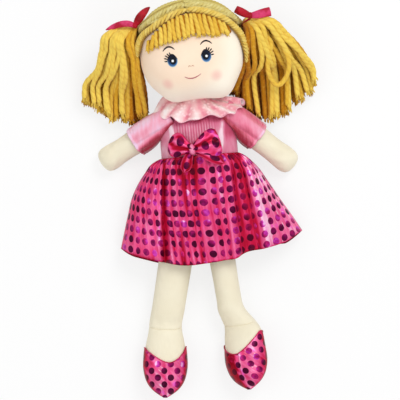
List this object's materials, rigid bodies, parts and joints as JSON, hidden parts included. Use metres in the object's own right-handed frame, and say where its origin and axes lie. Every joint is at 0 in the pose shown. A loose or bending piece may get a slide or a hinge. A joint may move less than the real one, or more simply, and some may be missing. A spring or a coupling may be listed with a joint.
{
  "type": "cloth doll",
  "caption": "Soft stuffed cloth doll lying on its back, with a round head, yarn pigtails tied with ribbon, a gathered dress with ruffled collar and waist bow, and sewn slippers.",
  "frame": {"origin": "on the table under the middle of the doll's back, at the flat patch of the bodice's back panel", "axes": "+Y from the back towards the head, +X towards the doll's own left side, +Z out of its front, away from the table"},
  "size_m": [0.2396, 0.3984, 0.082],
  "materials": {
    "face_cloth": "matte",
    "body_cloth": "matte",
    "stuffing": "matte",
    "gold_yarn": "matte",
    "crimson_ribbon": "satin",
    "pink_satin": "satin",
    "pale_organza": "satin",
    "dotted_foil": "satin"
  },
  "bodies": {
    "torso": {"torso_cover": "body_cloth", "torso_stuffing": "stuffing", "neck": "body_cloth", "bodice_front": "pink_satin", "bodice_back": "pink_satin", "collar_ruffle": "pale_organza", "skirt_front": "dotted_foil", "skirt_back": "dotted_foil", "bow_knot": "pink_satin", "bow_left_loop": "dotted_foil", "bow_right_loop": "dotted_foil", "bow_left_tail": "dotted_foil", "bow_right_tail": "dotted_foil"},
    "head": {"face_panel": "face_cloth", "head_back_panel": "face_cloth", "head_stuffing": "stuffing", "yarn_cap": "gold_yarn", "fringe": "gold_yarn"},
    "pigtail_right": {"right_pigtail": "gold_yarn", "right_hair_tie": "crimson_ribbon", "right_hair_ribbon": "crimson_ribbon"},
    "pigtail_left": {"left_pigtail": "gold_yarn", "left_hair_tie": "crimson_ribbon", "left_hair_ribbon": "crimson_ribbon"},
    "arm_right": {"right_arm_cover": "body_cloth", "right_arm_stuffing": "stuffing", "right_sleeve": "pink_satin"},
    "arm_left": {"left_arm_cover": "body_cloth", "left_arm_stuffing": "stuffing", "left_sleeve": "pink_satin"},
    "hips": {"hip_seam": "body_cloth"},
    "leg_right": {"right_leg_cover": "body_cloth", "right_leg_stuffing": "stuffing"},
    "leg_left": {"left_leg_cover": "body_cloth", "left_leg_stuffing": "stuffing"},
    "foot_right": {"right_foot_cover": "body_cloth", "right_foot_stuffing": "stuffing", "right_slipper_inner": "dotted_foil", "right_slipper_outer": "dotted_foil"},
    "foot_left": {"left_foot_cover": "body_cloth", "left_foot_stuffing": "stuffing", "left_slipper_inner": "dotted_foil", "left_slipper_outer": "dotted_foil"}
  },
  "joints": [
    {"name": "head_nod", "type": "hinge", "parent": "torso", "child": "head", "pos_m": [0.0007, 0.028, 0.027], "axis": [1, 0, 0], "range_deg": [-20, 20]},
    {"name": "right_pigtail_swing", "type": "hinge", "parent": "head", "child": "pigtail_right", "pos_m": [-0.05742, 0.11912, 0.0409], "axis": [-0.9969, -0.0785, 0], "range_deg": [-40, 60]},
    {"name": "left_pigtail_swing", "type": "hinge", "parent": "head", "child": "pigtail_left", "pos_m": [0.06015, 0.11466, 0.0409], "axis": [-0.9969, -0.0785, 0], "range_deg": [-40, 60]},
    {"name": "right_shoulder", "type": "hinge", "parent": "torso", "child": "arm_right", "pos_m": [-0.0377, 0.018, 0.025], "axis": [-0.4618, 0.887, 0], "range_deg": [-25, 60], "deforming": ["right_sleeve"]},
    {"name": "left_shoulder", "type": "hinge", "parent": "torso", "child": "arm_left", "pos_m": [0.0377, 0.018, 0.025], "axis": [-0.6756, -0.7373, 0], "range_deg": [-25, 60], "deforming": ["left_sleeve"]},
    {"name": "sit", "type": "hinge", "parent": "torso", "child": "hips", "pos_m": [-0.00625, -0.0543, 0.025], "axis": [-1, 0, 0], "range_deg": [-15, 90], "deforming": ["skirt_front", "skirt_back"]},
    {"name": "right_leg_spread", "type": "hinge", "parent": "hips", "child": "leg_right", "pos_m": [-0.022, -0.0716, 0.02359], "axis": [0, 0, 1], "range_deg": [-12, 6]},
    {"name": "left_leg_spread", "type": "hinge", "parent": "hips", "child": "leg_left", "pos_m": [0.0095, -0.0716, 0.02376], "axis": [0, 0, 1], "range_deg": [-6, 12]},
    {"name": "right_ankle", "type": "hinge", "parent": "leg_right", "child": "foot_right", "pos_m": [-0.04974, -0.18538, 0.014], "axis": [0.9961, -0.0876, 0.0123], "range_deg": [-20, 20]},
    {"name": "left_ankle", "type": "hinge", "parent": "leg_left", "child": "foot_left", "pos_m": [0.02787, -0.1877, 0.01537], "axis": [0.8668, 0.0637, 0.4945], "range_deg": [-20, 20]}
  ]
}
